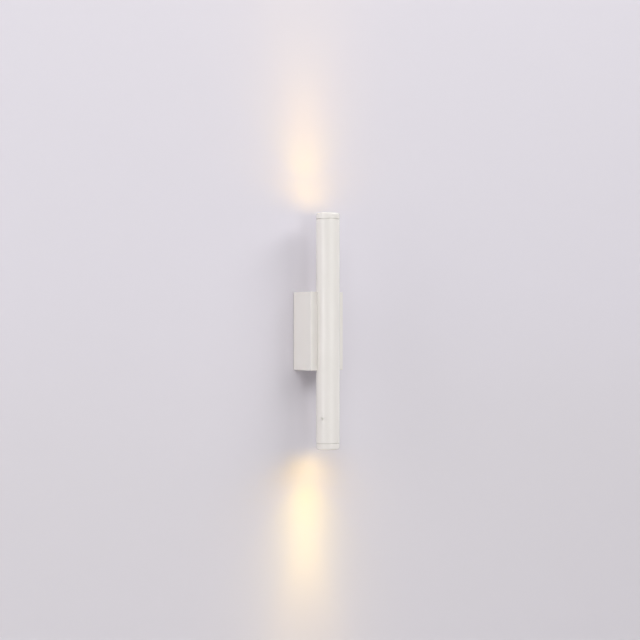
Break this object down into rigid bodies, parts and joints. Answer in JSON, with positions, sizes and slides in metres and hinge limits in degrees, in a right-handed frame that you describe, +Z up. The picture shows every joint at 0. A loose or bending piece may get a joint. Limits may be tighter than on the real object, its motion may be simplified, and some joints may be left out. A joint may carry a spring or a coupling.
{
  "type": "tube wall light",
  "caption": "Upright round tube lamp on a rectangular wall box, lit upwards and downwards through frosted lenses in screw-in end rings.",
  "frame": {"origin": "on the wall, at the middle of the wall box's back, which is the bracket's back face", "axes": "+Z up along the tube, +Y into the wall, +X to the right when facing the wall"},
  "size_m": [0.05, 0.057, 0.3],
  "materials": {
    "white_coat": "warm white powder coat, satin",
    "white_screw": "steel, painted white",
    "galvanised": "galvanised sheet",
    "zinc_steel": "zinc-plated steel",
    "tinned_copper": "tinned copper",
    "grey_rubber": "matt",
    "earth_insulation": "green with a yellow stripe",
    "live_insulation": "brown",
    "neutral_insulation": "blue",
    "red_insulation": "red",
    "black_insulation": "black",
    "block_nylon": "natural nylon",
    "clamp_brass": "turned",
    "driver_plastic": "fine grain",
    "board_green": "solder mask",
    "ferrite": "dark, dull",
    "capacitor_sleeve": "shrunk sleeve",
    "chip_black": "moulded",
    "bare_aluminium": "turned",
    "pad_silicone": "soft, dull",
    "board_white": "white solder mask",
    "chip_glow": "yellow, glowing",
    "reflector_metal": "metallised plastic, satin",
    "frosted_glass": "etched, lit from behind",
    "seal_silicone": "translucent"
  },
  "bodies": {
    "root": {"wall_bracket": "galvanised", "cable_bush": "grey_rubber", "earth_lug": "tinned_copper", "earth_washer": "zinc_steel", "earth_screw": "zinc_steel", "earth_lead": "earth_insulation", "base_housing": "white_coat", "cover_screws": "zinc_steel", "terminal_block": "block_nylon", "terminal_clamps": "clamp_brass", "clamp_screws": "zinc_steel", "terminal_block_screws": "zinc_steel", "live_lead": "live_insulation", "neutral_lead": "neutral_insulation", "driver_case": "driver_plastic", "driver_lid": "driver_plastic", "driver_board": "board_green", "driver_transformer": "ferrite", "driver_capacitors": "capacitor_sleeve", "driver_chips": "chip_black", "driver_screws": "zinc_steel", "lead_grommet": "grey_rubber", "red_led_leads": "red_insulation", "black_led_leads": "black_insulation", "tube_body": "white_coat", "tube_bar": "bare_aluminium", "tube_screws": "zinc_steel", "tube_washers": "zinc_steel", "grub_screws": "white_screw", "led_board_screws": "zinc_steel", "upper_heat_sink": "bare_aluminium", "upper_thermal_pad": "pad_silicone", "upper_led_board": "board_white", "upper_led_chip": "chip_glow", "upper_reflector": "reflector_metal", "lower_heat_sink": "bare_aluminium", "lower_thermal_pad": "pad_silicone", "lower_led_board": "board_white", "lower_led_chip": "chip_glow", "lower_reflector": "reflector_metal"},
    "upper_lens_carrier": {"upper_lens": "frosted_glass", "upper_lens_gasket": "seal_silicone"},
    "upper_ring": {"upper_end_ring": "white_coat"},
    "lower_lens_carrier": {"lower_lens": "frosted_glass", "lower_lens_gasket": "seal_silicone"},
    "lower_ring": {"lower_end_ring": "white_coat"}
  },
  "joints": [
    {"name": "upper_ring_travel", "type": "slide", "parent": "root", "child": "upper_lens_carrier", "axis": [0, 0, 1], "range_m": [0, 0.005]},
    {"name": "upper_ring_turn", "type": "hinge", "parent": "upper_lens_carrier", "child": "upper_ring", "pos_m": [0, -0.042, 0.146], "axis": [0, 0, 1], "range_deg": [0, 1800]},
    {"name": "lower_ring_travel", "type": "slide", "parent": "root", "child": "lower_lens_carrier", "axis": [0, 0, -1], "range_m": [0, 0.005]},
    {"name": "lower_ring_turn", "type": "hinge", "parent": "lower_lens_carrier", "child": "lower_ring", "pos_m": [0, -0.042, -0.146], "axis": [0, 0, -1], "range_deg": [0, 1800]}
  ],
  "couplings": [
    {"joint": "upper_ring_travel", "follows": "upper_ring_turn", "m_per_rad": 0.00015915},
    {"joint": "lower_ring_travel", "follows": "lower_ring_turn", "m_per_rad": 0.00015915}
  ]
}
